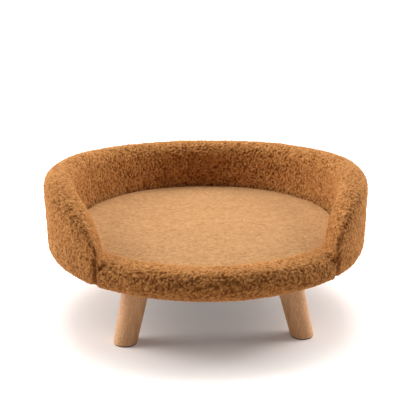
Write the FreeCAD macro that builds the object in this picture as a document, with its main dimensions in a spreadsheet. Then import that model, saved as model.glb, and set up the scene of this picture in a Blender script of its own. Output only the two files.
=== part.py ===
import FreeCAD, Part
import os

import Sketcher

# Round pet bed on four splayed legs. Millimetres, +Z up, front toward -Y,
# origin on the floor under the middle of the bed.

SHEET = "Sizes"

SIZES = {
    "ring_radius": 250.0,
    "body_bottom": 100.0,
    "rim_top": 234.0,
    "wall_thick": 48.0,
    "edge_round": 25.0,
    "lip_top": 146.0,
    "lip_round": 18.0,
    "arm_start": 50.0,
    "arm_lift": 2.0,
    "cover_thick": 3.0,
    "slack": 0.3,
    "board_thick": 12.0,
    "shell_thick": 5.0,
    "shell_drop": 24.0,
    "rail_drop": 12.0,
    "dust_thick": 0.8,
    "seat_gap": 0.3,
    "seat_round": 12.0,
    "plush_thick": 2.5,
    "foot_radius": 17.6,
    "leg_radius": 21.6,
    "leg_lean": 31.0,
    "pad_radius": 16.6,
    "pad_thick": 2.0,
    "plate_side": 60.0,
    "plate_thick": 2.5,
    "bolt_radius": 4.0,
    "bolt_sunk": 40.0,
    "bolt_rise": 13.0,
    "screw_radius": 1.5,
    "screw_pitch": 24.0,
    "screw_length": 11.0,
    "head_radius": 4.0,
    "head_thick": 2.0,
    "hole_slack": 0.2,
    "shell_screw_length": 18.0,
    "staple_wide": 10.0,
    "staple_wire": 0.6,
    "staple_leg": 6.0,
    "tape_thick": 0.8,
    "zip_half_span": 50.0,
    "slider_long": 9.0,
    "slider_tall": 6.0,
    "slider_thick": 1.2,
    "pull_long": 14.0,
    "pull_tall": 4.0,
    "pull_thick": 0.6,
    "arm_end_set": 50.0,
    "arm_spare": 50.0,
    "mouth_set": 34.0,
    "shell_set": 2.0,
    "dust_set": 2.5,
    "seat_clear": 3.0,
    "foot_set": 7.0,
    "cover_staple_set": 10.0,
    "dust_staple_set": 5.5,
    "zip_rise": 8.7,
    "zip_tall": 10.0,
    "outside": 30.0,
}

# Sizes that follow from the ones above, so that the pieces keep fitting each other.
FITS = {
    "bowl_radius": "ring_radius - wall_thick",
    "mouth_half": "bowl_radius - mouth_set",
    "arm_run": "arm_start + ring_radius - arm_end_set",
    "arm_radius": "arm_run + arm_spare",
    "shell_inner": "ring_radius - wall_thick / 2 - shell_set",
    "board_radius": "shell_inner - slack",
    "dust_radius": "bowl_radius - dust_set",
    "seat_radius": "bowl_radius - seat_clear",
    "cover_staple_ring": "bowl_radius + cover_staple_set",
    "dust_staple_ring": "dust_radius - dust_staple_set",
    "foot_reach": "dust_staple_ring - foot_set",
    "seat_low": "body_bottom + cover_thick + board_thick + seat_gap",
    "zip_low": "seat_low + zip_rise",
    "zip_high": "zip_low + zip_tall",
}

LEGS = {
    "front_left": -135.0,
    "front_right": -45.0,
    "back_right": 45.0,
    "back_left": 135.0,
}
LEG_COUNT = 4
SHELL_SCREW_SLOTS = 12
SHELL_SCREWS = 9
SHELL_SCREW_START = -30.0
SHELL_SCREW_SWEEP = 240.0
RAIL_SCREWS = 3
RAIL_SCREW_START = -120.0
RAIL_SCREW_SWEEP = 60.0
COVER_STAPLES = 32
DUST_STAPLES = 24
FULL_TURN = 360.0
LEG_TURN = 45.0
ZIP_TURN = 90.0
CORNERS = ((1, 1), (1, -1), (-1, -1), (-1, 1))
THROUGH_ALL = 1
Z_AXIS = FreeCAD.Vector(0, 0, 1)

# Heights and radii shared by several pieces, as sheet formulas.
BOARD_LOW = "Sizes.body_bottom + Sizes.cover_thick"
SEAT_LOW = "Sizes.seat_low"
DUST_LOW = BOARD_LOW + " - Sizes.dust_thick"
PLATE_LOW = DUST_LOW + " - Sizes.plate_thick"
SHELL_OUTER = "Sizes.shell_inner + Sizes.shell_thick"
PLATE_MIDDLE = "Sizes.foot_reach - Sizes.leg_lean"
SCREW_LEVEL = "Sizes.body_bottom + Sizes.cover_thick + Sizes.board_thick / 2"
FOAM_INSET = "(Sizes.cover_thick + Sizes.slack)"
BOWL_INWARD = "Sizes.bowl_radius - Sizes.outside"
# The shell's low edge keeps its clearance from the rounded foot of the cover.
SHELL_OVERHANG = f"max(0; {SHELL_OUTER} - Sizes.ring_radius + Sizes.edge_round)"
SHELL_LOW = (
    "Sizes.body_bottom + Sizes.edge_round"
    f" - sqrt((Sizes.edge_round - {FOAM_INSET})^2 - {SHELL_OVERHANG}^2)"
)

doc = FreeCAD.newDocument("pet_bed")


def make_sheet():
    """Put every driving size in the spreadsheet under its own name."""
    sheet = doc.addObject("Spreadsheet::Sheet", SHEET)
    fits = {name: "=" + formula for name, formula in FITS.items()}
    for row, (name, size) in enumerate({**SIZES, **fits}.items(), start=1):
        sheet.set(f"A{row}", name)
        sheet.setAlias(f"B{row}", name)
        sheet.set(f"B{row}", str(size))
    doc.recompute()
    return sheet


sheet = make_sheet()


def value(formula):
    """The number a sheet formula gives now."""
    result = sheet.evalExpression(formula)
    return float(getattr(result, "Value", result))


def new_body(label):
    """An empty body that may hold several separate solids."""
    body = doc.addObject("PartDesign::Body", label)
    body.Label = label
    body.AllowCompound = True
    return body


def origin_part(body, role):
    """The body's own origin plane or axis."""
    return next(item for item in body.Origin.OriginFeatures if item.Role == role)


def new_sketch(body, plane, name, lift=None, turn=0.0):
    """A sketch on an origin plane, lifted along the normal by a formula."""
    sketch = body.newObject("Sketcher::SketchObject", name)
    sketch.AttachmentSupport = (origin_part(body, plane), [""])
    sketch.MapMode = "FlatFace"
    height = value(lift) if lift else 0.0
    turned = FreeCAD.Rotation(Z_AXIS, turn)
    sketch.AttachmentOffset = FreeCAD.Placement(FreeCAD.Vector(0, 0, height), turned)
    if lift:
        sketch.setExpression("AttachmentOffset.Base.z", lift)
    return sketch


def pin(sketch, geometry, point, across, along):
    """Hold one sketch point at two sheet formulas; None leaves one free."""
    for kind, axis, formula in (("DistanceX", -2, across), ("DistanceY", -1, along)):
        if formula is None:
            continue
        if formula == "0":
            sketch.addConstraint(Sketcher.Constraint("PointOnObject", geometry, point, axis))
            continue
        held = Sketcher.Constraint(kind, -1, 1, geometry, point, value(formula))
        index = sketch.addConstraint(held)
        sketch.setExpression(f"Constraints[{index}]", formula)


def outline(sketch, points):
    """Closed outline of corners. A corner is (x, y) or (x, y, centre x, centre y,
    held), where an arc about the centre runs from this corner to the next and
    held says which way the next corner is pinned: 'x' or 'y'."""
    spots = [FreeCAD.Vector(value(p[0]), value(p[1]), 0) for p in points]
    arcs = {}
    for index, corner in enumerate(points):
        after = (index + 1) % len(points)
        start, end = spots[index], spots[after]
        if len(corner) == 2:
            sketch.addGeometry(Part.LineSegment(start, end), False)
            continue
        centre = FreeCAD.Vector(value(corner[2]), value(corner[3]), 0)
        radius = (start - centre).Length
        middle = (start - centre) + (end - centre)
        if middle.Length < radius / 100:
            middle = FreeCAD.Vector(0, radius, 0)
        middle = centre + middle.normalize() * radius
        sketch.addGeometry(Part.Arc(start, middle, end), False)
        arcs[index] = corner
    join_corners(sketch, points, spots, arcs)


def arc_ends(sketch, index, start):
    """Point numbers of an edge's first and last corner."""
    edge = sketch.Geometry[index]
    if not isinstance(edge, Part.ArcOfCircle):
        return 1, 2
    near = (sketch.getPoint(index, 1) - start).Length
    far = (sketch.getPoint(index, 2) - start).Length
    return (1, 2) if near < far else (2, 1)


def join_corners(sketch, points, spots, arcs):
    """Tie the edges end to end and pin every corner to its formulas."""
    count = len(points)
    ends = [arc_ends(sketch, index, spots[index]) for index in range(count)]
    for index in range(count):
        after = (index + 1) % count
        tie = Sketcher.Constraint("Coincident", index, ends[index][1], after, ends[after][0])
        sketch.addConstraint(tie)
    for index, corner in enumerate(points):
        before = arcs.get((index - 1) % count)
        across, along = corner[0], corner[1]
        if before is not None and before[4] == "x":
            along = None
        if before is not None and before[4] == "y":
            across = None
        pin(sketch, index, ends[index][0], across, along)
        if index in arcs:
            pin(sketch, index, 3, corner[2], corner[3])


def circle(sketch, across, along, radius):
    """A full circle held by three sheet formulas."""
    centre = FreeCAD.Vector(value(across), value(along), 0)
    index = sketch.addGeometry(Part.Circle(centre, Z_AXIS, value(radius)), False)
    pin(sketch, index, 3, across, along)
    held = sketch.addConstraint(Sketcher.Constraint("Radius", index, value(radius)))
    sketch.setExpression(f"Constraints[{held}]", radius)


def rectangle(sketch, left, right, low, high):
    """A rectangle between four sheet formulas."""
    corners = ((left, low), (right, low), (right, high), (left, high))
    first = sketch.GeometryCount
    spots = [FreeCAD.Vector(value(x), value(y), 0) for x, y in corners]
    count = len(corners)
    for index in range(count):
        edge = Part.LineSegment(spots[index], spots[(index + 1) % count])
        sketch.addGeometry(edge, False)
    for index in range(count):
        after = first + (index + 1) % count
        sketch.addConstraint(Sketcher.Constraint("Coincident", first + index, 2, after, 1))
        pin(sketch, first + index, 1, *corners[index])


def revolve(body, name, points):
    """Turn a section (radius, height) once round the Z axis."""
    sketch = new_sketch(body, "YZ_Plane", name + "_section")
    outline(sketch, points)
    turned = body.newObject("PartDesign::Revolution", name)
    turned.Profile = sketch
    turned.ReferenceAxis = (origin_part(body, "Z_Axis"), [""])
    turned.Angle = FULL_TURN
    body.Tip = turned
    doc.recompute()
    return turned


def pad(body, name, sketch, length):
    """Raise a sketch along its normal by a sheet formula."""
    raised = body.newObject("PartDesign::Pad", name)
    raised.Profile = sketch
    raised.Length = value(length)
    raised.setExpression("Length", length)
    body.Tip = raised
    doc.recompute()
    return raised


def pocket(body, name, sketch, length=None, reverse=False):
    """Cut a sketch away, right through both ways or by a sheet formula."""
    cut = body.newObject("PartDesign::Pocket", name)
    cut.Profile = sketch
    if length is None:
        cut.Type = THROUGH_ALL
        cut.Midplane = True
    else:
        cut.Length = value(length)
        cut.setExpression("Length", length)
        cut.Reversed = reverse
    body.Tip = cut
    doc.recompute()
    return cut


def ring_of(body, name, features, count, sweep=FULL_TURN):
    """Repeat features round the Z axis."""
    pattern = body.newObject("PartDesign::PolarPattern", name)
    pattern.Originals = features
    pattern.Axis = (origin_part(body, "Z_Axis"), [""])
    body.Tip = pattern
    pattern.Angle = sweep
    pattern.Occurrences = count
    doc.recompute()
    return pattern


def cut_arms(body, inset):
    """Cut the arms down toward the front along one big arc, seen from the side.
    The arc peaks a little above the rim, so that it crosses the rim at an angle."""
    centre = "Sizes.rim_top + Sizes.arm_lift - Sizes.arm_radius"
    crest = f"Sizes.rim_top + Sizes.arm_lift - {inset}"
    end = "Sizes.arm_start - Sizes.arm_run"
    drop = f"sqrt((Sizes.arm_radius - {inset})^2 - Sizes.arm_run^2)"
    below = f"{centre} + {drop}"
    front = "-Sizes.ring_radius - Sizes.outside"
    high = "Sizes.rim_top + Sizes.outside"
    sketch = new_sketch(body, "YZ_Plane", body.Name + "_arm_line")
    outline(
        sketch,
        [
            ("Sizes.arm_start", crest, "Sizes.arm_start", centre, "x"),
            (end, below),
            (end, "-Sizes.outside"),
            (front, "-Sizes.outside"),
            (front, high),
            ("Sizes.arm_start", high),
        ],
    )
    return pocket(body, body.Name + "_arm_cut", sketch)


def cut_mouth(body, inset):
    """Open the front between the arms."""
    half = f"Sizes.mouth_half + {inset}"
    sketch = new_sketch(body, "XY_Plane", body.Name + "_mouth")
    front = "-Sizes.ring_radius - Sizes.outside"
    rectangle(sketch, f"-({half})", half, front, "0")
    return pocket(body, body.Name + "_mouth_cut", sketch)


def keep_mouth(body, inset):
    """Keep only what lies in the front between the arms."""
    half = f"Sizes.mouth_half - Sizes.slack - {inset}"
    wide = "Sizes.ring_radius + Sizes.outside"
    far = "Sizes.ring_radius + 2 * Sizes.outside"
    sketch = new_sketch(body, "XY_Plane", body.Name + "_sides")
    rectangle(sketch, f"-({far})", far, f"-({far})", wide)
    rectangle(sketch, f"-({half})", half, f"-({wide})", "0")
    return pocket(body, body.Name + "_side_cut", sketch)


def wall_section(inset, inner_low):
    """Round-topped section of the back and arms, inset all round."""
    inner = f"Sizes.ring_radius - Sizes.wall_thick + {inset}"
    outer = f"Sizes.ring_radius - {inset}"
    middle = "Sizes.ring_radius - Sizes.wall_thick / 2"
    spring = "Sizes.rim_top - Sizes.wall_thick / 2"
    return edge_section(
        [(inner, spring, middle, spring, "y"), (outer, spring)], inset, inner, outer, inner_low
    )


def lip_section(inset, inner_low):
    """Lower section of the front lip, with two rounded top corners."""
    inner = f"Sizes.ring_radius - Sizes.wall_thick + {inset}"
    outer = f"Sizes.ring_radius - {inset}"
    spring = "Sizes.lip_top - Sizes.lip_round"
    top = f"Sizes.lip_top - {inset}"
    inside = "Sizes.ring_radius - Sizes.wall_thick + Sizes.lip_round"
    outside = "Sizes.ring_radius - Sizes.lip_round"
    crown = [
        (inner, spring, inside, spring, "x"),
        (inside, top),
        (outside, top, outside, spring, "y"),
        (outer, spring),
    ]
    return edge_section(crown, inset, inner, outer, inner_low)


def edge_section(crown, inset, inner, outer, inner_low):
    """Close a crown with the straight outside, the rounded foot and the inside."""
    turn_in = "Sizes.ring_radius - Sizes.edge_round"
    turn_up = "Sizes.body_bottom + Sizes.edge_round"
    low = f"Sizes.body_bottom + {inset}"
    foot = [(outer, turn_up, turn_in, turn_up, "x"), (turn_in, low)]
    if inner_low is None:
        return crown + foot + [(inner, low)]
    return crown + foot + [(BOWL_INWARD, low), (BOWL_INWARD, inner_low), (inner, inner_low)]


def formed(label, section, inset, trim, inner_low=None):
    """One soft form: a section turned round, then trimmed to its stretch."""
    body = new_body(label)
    revolve(body, label + "_turn", section(inset, inner_low))
    trim(body, inset)
    return body


def trim_back(body, inset):
    """Leave the back and the two arms."""
    cut_arms(body, inset)
    cut_mouth(body, inset)


def cut_from(label, base, tool):
    """One solid less another, kept as a live boolean."""
    cut = doc.addObject("Part::Cut", label)
    cut.Base = base
    cut.Tool = tool
    cut.Label = label
    doc.recompute()
    return cut


def board_passage(label):
    """The room for the board's rim, cut through a cover's end walls."""
    passage = new_body(label)
    rim = "Sizes.board_radius + Sizes.slack"
    corners = [
        (BOWL_INWARD, BOARD_LOW),
        (rim, BOARD_LOW),
        (rim, SEAT_LOW),
        (BOWL_INWARD, SEAT_LOW),
    ]
    revolve(passage, label + "_turn", corners)
    return passage


def upholstery(part, section, trim, slot_top, slot_inset):
    """The cover and the foam of one stretch of the ring."""
    form = formed(part + "_form", section, "0", trim)
    hollow = formed(part + "_hollow", section, "Sizes.cover_thick", trim, SEAT_LOW)
    lined = cut_from(part + "_lined", form, hollow)
    passage = board_passage(part + "_passage")
    cover = cut_from(part + "_cover", lined, passage)
    solid = formed(part + "_solid", section, FOAM_INSET, trim)
    slot = new_body(part + "_slot")
    left = "Sizes.shell_inner - Sizes.slack"
    right = f"{SHELL_OUTER} + Sizes.slack"
    corners = [
        (BOWL_INWARD, "Sizes.body_bottom"),
        (right, "Sizes.body_bottom"),
        (right, slot_top),
        (left, slot_top),
        (left, SEAT_LOW),
        (BOWL_INWARD, SEAT_LOW),
    ]
    revolve(slot, part + "_slot_turn", corners)
    if slot_inset is not None:
        cut_arms(slot, slot_inset)
    shell_room = cut_from(part + "_shell_room", solid, slot)
    foam = cut_from(part + "_foam", shell_room, passage)
    return cover, foam


def shell_ring(label, top):
    """A bent plywood ring with its screw holes, still a full circle."""
    body = new_body(label)
    corners = [
        ("Sizes.shell_inner", SHELL_LOW),
        (SHELL_OUTER, SHELL_LOW),
        (SHELL_OUTER, top),
        ("Sizes.shell_inner", top),
    ]
    revolve(body, label + "_turn", corners)
    start = "Sizes.shell_inner - Sizes.slack"
    seat = f"{SHELL_OUTER} - Sizes.head_thick"
    holes = [
        edge_hole(body, label + "_hole", start, "Sizes.screw_radius + Sizes.hole_slack"),
        edge_hole(body, label + "_seat", seat, "Sizes.head_radius + Sizes.hole_slack"),
    ]
    ring_of(body, label + "_holes", holes, SHELL_SCREW_SLOTS)
    return body


def edge_hole(body, name, start, radius):
    """A hole running outward along X at the height of the shell screws."""
    sketch = new_sketch(body, "YZ_Plane", name + "_round", start)
    circle(sketch, "0", SCREW_LEVEL, radius)
    return pocket(body, name, sketch, "Sizes.shell_screw_length + Sizes.outside", True)


def make_shells():
    """The back shell and the front rail."""
    back = shell_ring("back_shell", "Sizes.rim_top - Sizes.shell_drop")
    cut_arms(back, "Sizes.shell_drop")
    cut_mouth(back, FOAM_INSET)
    rail = shell_ring("front_rail", "Sizes.lip_top - Sizes.rail_drop")
    keep_mouth(rail, FOAM_INSET)
    return [back, rail]


def radial_screws(label, count, start, sweep):
    """Screws driven inward through the shell into the edge of the board."""
    body = new_body(label)
    tip = f"{SHELL_OUTER} - Sizes.shell_screw_length"
    seat = f"{SHELL_OUTER} - Sizes.head_thick"
    shank = new_sketch(body, "YZ_Plane", label + "_shank_round", tip)
    circle(shank, "0", SCREW_LEVEL, "Sizes.screw_radius")
    length = "Sizes.shell_screw_length - Sizes.head_thick"
    features = [pad(body, label + "_shank", shank, length)]
    head = new_sketch(body, "YZ_Plane", label + "_head_round", seat)
    circle(head, "0", SCREW_LEVEL, "Sizes.head_radius")
    features.append(pad(body, label + "_head", head, "Sizes.head_thick"))
    ring_of(body, label + "_all", features, count, sweep)
    body.Placement = FreeCAD.Placement(
        FreeCAD.Vector(), FreeCAD.Rotation(Z_AXIS, start)
    )
    return body


def leg_holes(body, name):
    """Bolt and screw holes for one leg, then for all four."""
    sketch = new_sketch(body, "XY_Plane", name + "_rounds", None, LEG_TURN)
    circle(sketch, PLATE_MIDDLE, "0", "Sizes.bolt_radius + Sizes.hole_slack")
    for across, along in CORNERS:
        circle(
            sketch,
            f"{PLATE_MIDDLE} + {across} * Sizes.screw_pitch",
            f"{along} * Sizes.screw_pitch",
            "Sizes.screw_radius + Sizes.hole_slack",
        )
    holes = pocket(body, name + "_one", sketch)
    ring_of(body, name + "_all", [holes], LEG_COUNT)


def staple_slots(body, name, ring, count):
    """Slots for the two legs of each staple, all round."""
    grown = "Sizes.hole_slack"
    sketch = new_sketch(body, "XY_Plane", name + "_marks")
    for side in (1, -1):
        staple_mark(sketch, ring, side, grown)
    slots = pocket(body, name + "_one", sketch)
    ring_of(body, name + "_all", [slots], count)


def staple_mark(sketch, ring, side, grown):
    """The plan of one staple leg, made larger by a formula."""
    outer = f"Sizes.staple_wide / 2 + {grown}"
    inner = f"Sizes.staple_wide / 2 - Sizes.staple_wire - {grown}"
    low, high = (inner, outer) if side > 0 else (f"-({outer})", f"-({inner})")
    near = f"Sizes.{ring} - Sizes.staple_wire / 2 - {grown}"
    far = f"Sizes.{ring} + Sizes.staple_wire / 2 + {grown}"
    rectangle(sketch, near, far, low, high)


def make_board():
    """The round plywood board that everything is fixed to."""
    body = new_body("base_board")
    sketch = new_sketch(body, "XY_Plane", "board_round", BOARD_LOW)
    circle(sketch, "0", "0", "Sizes.board_radius")
    pad(body, "board_disc", sketch, "Sizes.board_thick")
    start = f"{SHELL_OUTER} - Sizes.shell_screw_length - Sizes.slack"
    pilot = edge_hole(body, "board_pilot", start, "Sizes.screw_radius + Sizes.hole_slack")
    ring_of(body, "board_pilots", [pilot], SHELL_SCREW_SLOTS)
    leg_holes(body, "board_leg_holes")
    staple_slots(body, "board_cover_slots", "cover_staple_ring", COVER_STAPLES)
    staple_slots(body, "board_dust_slots", "dust_staple_ring", DUST_STAPLES)
    return body


def make_dust_cover():
    """The thin black sheet under the board."""
    body = new_body("dust_cover")
    sketch = new_sketch(body, "XY_Plane", "dust_round", DUST_LOW)
    circle(sketch, "0", "0", "Sizes.dust_radius")
    pad(body, "dust_disc", sketch, "Sizes.dust_thick")
    leg_holes(body, "dust_leg_holes")
    staple_slots(body, "dust_slots", "dust_staple_ring", DUST_STAPLES)
    return body


def make_staples(label, ring, face, count):
    """Staples under a sheet, with their legs up in the board."""
    body = new_body(label)
    low = f"{face} - Sizes.staple_wire"
    crown = new_sketch(body, "XY_Plane", label + "_crown_plan", low)
    near = f"Sizes.{ring} - Sizes.staple_wire / 2"
    far = f"Sizes.{ring} + Sizes.staple_wire / 2"
    rectangle(crown, near, far, "-Sizes.staple_wide / 2", "Sizes.staple_wide / 2")
    features = [pad(body, label + "_crown", crown, "Sizes.staple_wire")]
    legs = new_sketch(body, "XY_Plane", label + "_leg_plan", low)
    for side in (1, -1):
        staple_mark(legs, ring, side, "0")
    features.append(pad(body, label + "_legs", legs, "Sizes.staple_leg + Sizes.staple_wire"))
    ring_of(body, label + "_all", features, count)
    return body


def stand_at_leg(body, angle):
    """Put a leg piece, modelled with the foot at the origin, at its corner."""
    turned = FreeCAD.Rotation(Z_AXIS, angle)
    body.Placement = FreeCAD.Placement(FreeCAD.Vector(), turned)
    body.setExpression("Placement.Base.x", f"Sizes.foot_reach * cos({angle} deg)")
    body.setExpression("Placement.Base.y", f"Sizes.foot_reach * sin({angle} deg)")


def make_leg(label):
    """A tapered leg leaning in toward the middle, with its bolt hole."""
    body = new_body(label)
    foot = new_sketch(body, "XY_Plane", label + "_foot", "Sizes.pad_thick")
    circle(foot, "0", "0", "Sizes.foot_radius")
    top = new_sketch(body, "XY_Plane", label + "_top", PLATE_LOW)
    circle(top, "-Sizes.leg_lean", "0", "Sizes.leg_radius")
    loft = body.newObject("PartDesign::AdditiveLoft", label + "_taper")
    loft.Profile = foot
    loft.Sections = [top]
    loft.Ruled = True
    body.Tip = loft
    doc.recompute()
    bore = new_sketch(body, "XY_Plane", label + "_bore", PLATE_LOW)
    circle(bore, "-Sizes.leg_lean", "0", "Sizes.bolt_radius + Sizes.hole_slack")
    pocket(body, label + "_bolt_hole", bore, "Sizes.bolt_sunk + Sizes.hole_slack")
    return body


def make_pad(label):
    """The thin pad under one foot."""
    body = new_body(label)
    sketch = new_sketch(body, "XY_Plane", label + "_round")
    circle(sketch, "0", "0", "Sizes.pad_radius")
    pad(body, label + "_disc", sketch, "Sizes.pad_thick")
    return body


def make_plate(label):
    """The steel plate between a leg and the board."""
    body = new_body(label)
    sketch = new_sketch(body, "XY_Plane", label + "_plan", PLATE_LOW)
    half = "Sizes.plate_side / 2"
    left = f"-Sizes.leg_lean - {half}"
    right = f"-Sizes.leg_lean + {half}"
    rectangle(sketch, left, right, f"-{half}", half)
    circle(sketch, "-Sizes.leg_lean", "0", "Sizes.bolt_radius + Sizes.hole_slack")
    plate_rounds(sketch, "Sizes.screw_radius + Sizes.hole_slack")
    pad(body, label + "_sheet", sketch, "Sizes.plate_thick")
    return body


def plate_rounds(sketch, radius):
    """Four circles at the corners of a leg plate."""
    for across, along in CORNERS:
        centre = f"-Sizes.leg_lean + {across} * Sizes.screw_pitch"
        circle(sketch, centre, f"{along} * Sizes.screw_pitch", radius)


def make_plate_screws(label):
    """The four screws that hold one leg plate to the board."""
    body = new_body(label)
    heads = new_sketch(body, "XY_Plane", label + "_rounds", f"{PLATE_LOW} - Sizes.head_thick")
    plate_rounds(heads, "Sizes.head_radius")
    pad(body, label + "_heads", heads, "Sizes.head_thick")
    shanks = new_sketch(body, "XY_Plane", label + "_shank_rounds", PLATE_LOW)
    plate_rounds(shanks, "Sizes.screw_radius")
    pad(body, label + "_shanks", shanks, "Sizes.screw_length")
    return body


def make_bolt(label):
    """The bolt that joins one leg to its plate and the board."""
    body = new_body(label)
    sketch = new_sketch(body, "XY_Plane", label + "_round", f"{PLATE_LOW} - Sizes.bolt_sunk")
    circle(sketch, "-Sizes.leg_lean", "0", "Sizes.bolt_radius")
    pad(body, label + "_rod", sketch, "Sizes.bolt_sunk + Sizes.bolt_rise")
    return body


def make_legs():
    """Every piece that repeats at the four corners."""
    makers = {
        "leg": make_leg,
        "foot_pad": make_pad,
        "leg_plate": make_plate,
        "plate_screws": make_plate_screws,
        "leg_bolt": make_bolt,
    }
    made = []
    for corner, angle in LEGS.items():
        for kind, maker in makers.items():
            body = maker(f"{kind}_{corner}")
            stand_at_leg(body, angle)
            made.append(body)
    return made


def seat_section(inset):
    """Half section of the seat cushion, rounded at both outer edges."""
    side = f"Sizes.seat_radius - {inset}"
    round_at = "Sizes.seat_radius - Sizes.seat_round"
    low_turn = f"{SEAT_LOW} + Sizes.seat_round"
    high_turn = "Sizes.lip_top - Sizes.seat_round"
    return [
        ("0", f"{SEAT_LOW} + {inset}"),
        (round_at, f"{SEAT_LOW} + {inset}", round_at, low_turn, "y"),
        (side, low_turn),
        (side, high_turn, round_at, high_turn, "x"),
        (round_at, f"Sizes.lip_top - {inset}"),
        ("0", f"Sizes.lip_top - {inset}"),
    ]


def make_cushion():
    """The seat foam and the plush cover closed round it."""
    foam = new_body("cushion_foam")
    inset = "(Sizes.plush_thick + Sizes.slack)"
    revolve(foam, "cushion_foam_turn", seat_section(inset))
    whole = new_body("cushion_form")
    revolve(whole, "cushion_form_turn", seat_section("0"))
    groove = zip_band("cushion_groove", "Sizes.slack", "Sizes.outside", "Sizes.slack")
    grooved = cut_from("cushion_grooved", whole, groove)
    inside = new_body("cushion_hollow")
    revolve(inside, "cushion_hollow_turn", seat_section("Sizes.plush_thick"))
    cover = cut_from("cushion_cover", grooved, inside)
    return [foam, cover]


def zip_band(label, sunk, proud, grown):
    """An arc band round the back of the cushion, between two depths."""
    body = new_body(label)
    near = f"Sizes.seat_radius - Sizes.tape_thick - {sunk}"
    far = f"Sizes.seat_radius - Sizes.slack + {proud}"
    low = f"Sizes.zip_low - {grown}"
    high = f"Sizes.zip_high + {grown}"
    sketch = new_sketch(body, "YZ_Plane", label + "_section")
    rectangle(sketch, near, far, low, high)
    band = body.newObject("PartDesign::Revolution", label + "_turn")
    band.Profile = sketch
    band.ReferenceAxis = (origin_part(body, "Z_Axis"), [""])
    band.Midplane = True
    reach = f"2 * (Sizes.zip_half_span + {grown})"
    band.Angle = value(reach)
    band.setExpression("Angle", reach + " * 1 deg")
    body.Tip = band
    doc.recompute()
    return body


def make_zip():
    """The tape let into the back of the cushion, the slider and its pull."""
    tape = zip_band("zip_tape", "0", "0", "0")
    slider = block_on_zip("zip_slider", "slider", "Sizes.seat_radius")
    face = "Sizes.seat_radius + Sizes.slider_thick"
    pull = block_on_zip("zip_pull", "pull", face)
    return [tape, slider, pull]


def block_on_zip(label, kind, face):
    """A small block on the zip, its back face at a radius."""
    body = new_body(label)
    middle = "(Sizes.zip_low + Sizes.zip_high) / 2"
    half_long = f"Sizes.{kind}_long / 2"
    half_tall = f"Sizes.{kind}_tall / 2"
    sketch = new_sketch(body, "YZ_Plane", label + "_plan", face)
    low, high = f"{middle} - {half_tall}", f"{middle} + {half_tall}"
    rectangle(sketch, f"-{half_long}", half_long, low, high)
    pad(body, label + "_block", sketch, f"Sizes.{kind}_thick")
    body.Placement = FreeCAD.Placement(FreeCAD.Vector(), FreeCAD.Rotation(Z_AXIS, ZIP_TURN))
    return body


def slotted_cover(cover, label, count):
    """Cut the staple slots through the turned-in edge of a cover."""
    tool = new_body(label + "_slots")
    sketch = new_sketch(tool, "XY_Plane", label + "_marks", "Sizes.body_bottom - Sizes.slack")
    for side in (1, -1):
        staple_mark(sketch, "cover_staple_ring", side, "Sizes.hole_slack")
    slot = pad(tool, label + "_one", sketch, "Sizes.cover_thick + 2 * Sizes.slack")
    ring_of(tool, label + "_all", [slot], count)
    return cut_from(label, cover, tool)


def make_upholstery():
    """Covers and foams of the back with its arms, and of the front lip."""
    made = []
    back_top = "Sizes.rim_top - Sizes.shell_drop + Sizes.slack"
    front_top = "Sizes.lip_top - Sizes.rail_drop + Sizes.slack"
    slot_inset = "(Sizes.shell_drop - Sizes.slack)"
    plans = (
        ("back", wall_section, trim_back, back_top, slot_inset),
        ("front", lip_section, keep_mouth, front_top, None),
    )
    for part, section, trim, slot_top, inset in plans:
        cover, foam = upholstery(part, section, trim, slot_top, inset)
        cover.Label = part + "_plain_cover"
        done = slotted_cover(cover, part + "_cover_done", COVER_STAPLES)
        done.Label = part + "_cover"
        made += [done, foam]
    return made


def find_faults(items):
    """Every object or piece that did not come out sound."""
    faults = []
    for item in doc.Objects:
        if "Invalid" in item.State or "Error" in item.State:
            faults.append(f"{item.Label} state {item.State}")
    for item in items:
        shape = item.Shape
        if shape.isNull() or not shape.isValid() or not shape.Solids:
            faults.append(f"{item.Label} shape")
    return faults


def main():
    """Build every piece, check it and write it out."""
    made = [make_board(), make_dust_cover()]
    made += make_shells()
    made.append(radial_screws("shell_screws", SHELL_SCREWS, SHELL_SCREW_START, SHELL_SCREW_SWEEP))
    made.append(radial_screws("rail_screws", RAIL_SCREWS, RAIL_SCREW_START, RAIL_SCREW_SWEEP))
    made.append(
        make_staples("cover_staples", "cover_staple_ring", "Sizes.body_bottom", COVER_STAPLES)
    )
    made.append(make_staples("dust_staples", "dust_staple_ring", DUST_LOW, DUST_STAPLES))
    made += make_upholstery()
    made += make_legs()
    made += make_cushion()
    made += make_zip()
    doc.recompute()
    faults = find_faults(made)
    if faults:
        raise RuntimeError("; ".join(faults))
    os.makedirs("parts", exist_ok=True)
    for item in made:
        item.Shape.exportStep(f"parts/{item.Label}.step")
        box = item.Shape.BoundBox
        print(
            f"{item.Label:28s} solids {len(item.Shape.Solids):3d} "
            f"cm3 {item.Shape.Volume / 1000:9.2f} z {box.ZMin:7.2f} {box.ZMax:7.2f}"
        )


main()
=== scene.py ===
import logging
import math
from dataclasses import dataclass, fields
from enum import Enum

import bpy
import numpy as np
from mathutils import Matrix, Vector


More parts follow.
